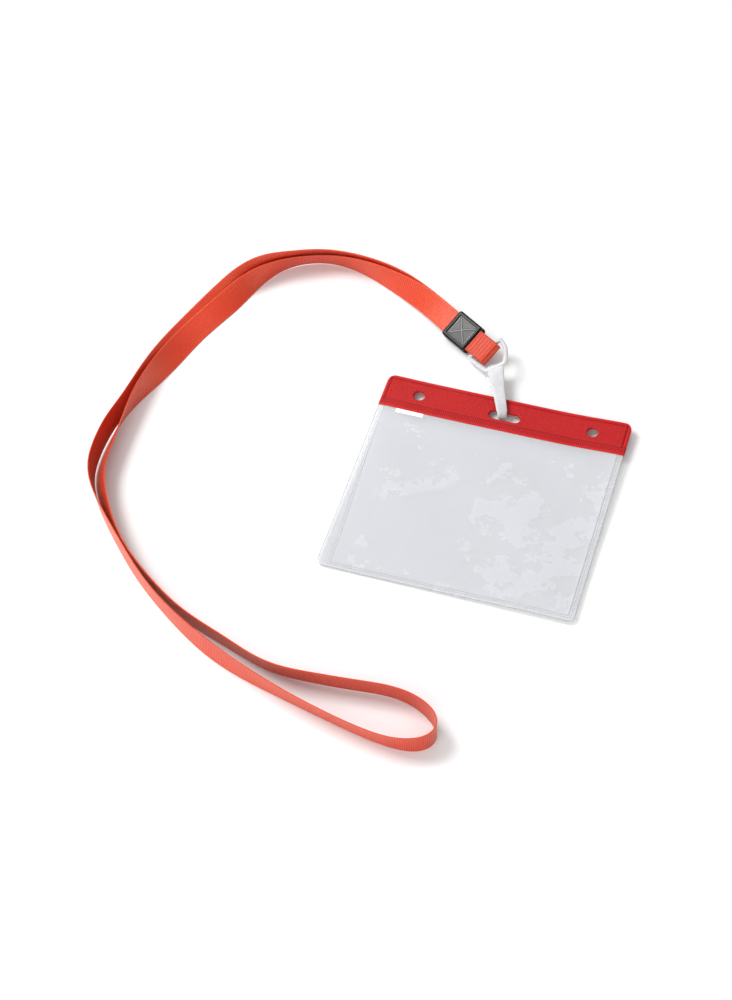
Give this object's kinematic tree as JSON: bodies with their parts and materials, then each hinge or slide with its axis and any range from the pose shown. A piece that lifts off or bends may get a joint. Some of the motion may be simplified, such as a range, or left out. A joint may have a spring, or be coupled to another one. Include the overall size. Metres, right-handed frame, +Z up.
{
  "type": "lanyard badge holder",
  "caption": "Clear soft pouch with a leather-grain header, a moulded hook through its slot, a crimp and a flat neck ribbon lying in a loose double loop.",
  "frame": {"origin": "Middle of the holder's plan, on the resting plane.", "axes": "+X along the header to its right end, +Y from the pouch towards the header, +Z up out of the holder's front face."},
  "size_m": [0.2196, 0.2487, 0.0155],
  "materials": {
    "header_vinyl": "satin leather-grain soft vinyl",
    "clear_film": "clear soft film, faint cling patches",
    "milky_plastic": "milky translucent moulded plastic",
    "crimp_plastic": "black satin moulded plastic",
    "ribbon": "cross-ribbed woven ribbon"
  },
  "bodies": {
    "holder": {"header_front": "header_vinyl", "header_back": "header_vinyl", "film_front": "clear_film", "film_back": "clear_film"},
    "hook": {"hook_body": "milky_plastic"},
    "gate": {"hook_gate": "milky_plastic"},
    "lanyard": {"crimp_front": "crimp_plastic", "crimp_back": "crimp_plastic", "neck_ribbon": "ribbon", "hook_loop_ribbon": "ribbon"}
  },
  "joints": [
    {"name": "hook_swing", "type": "hinge", "parent": "holder", "child": "hook", "pos_m": [-0.001, 0.04415, 0.0025], "axis": [0, 0, 1], "range_deg": [-65, 20]},
    {"name": "gate_flex", "type": "hinge", "parent": "hook", "child": "gate", "pos_m": [-0.01188, 0.06519, 0.00375], "axis": [-0.9239, -0.3827, 0], "range_deg": [0, 10], "stiffness_Nm_per_rad": 0.005},
    {"name": "lanyard_swing", "type": "hinge", "parent": "hook", "child": "lanyard", "pos_m": [-0.01813, 0.07813, 0.0058], "axis": [0.759, 0.5033, 0.4131], "range_deg": [0, 10]}
  ]
}
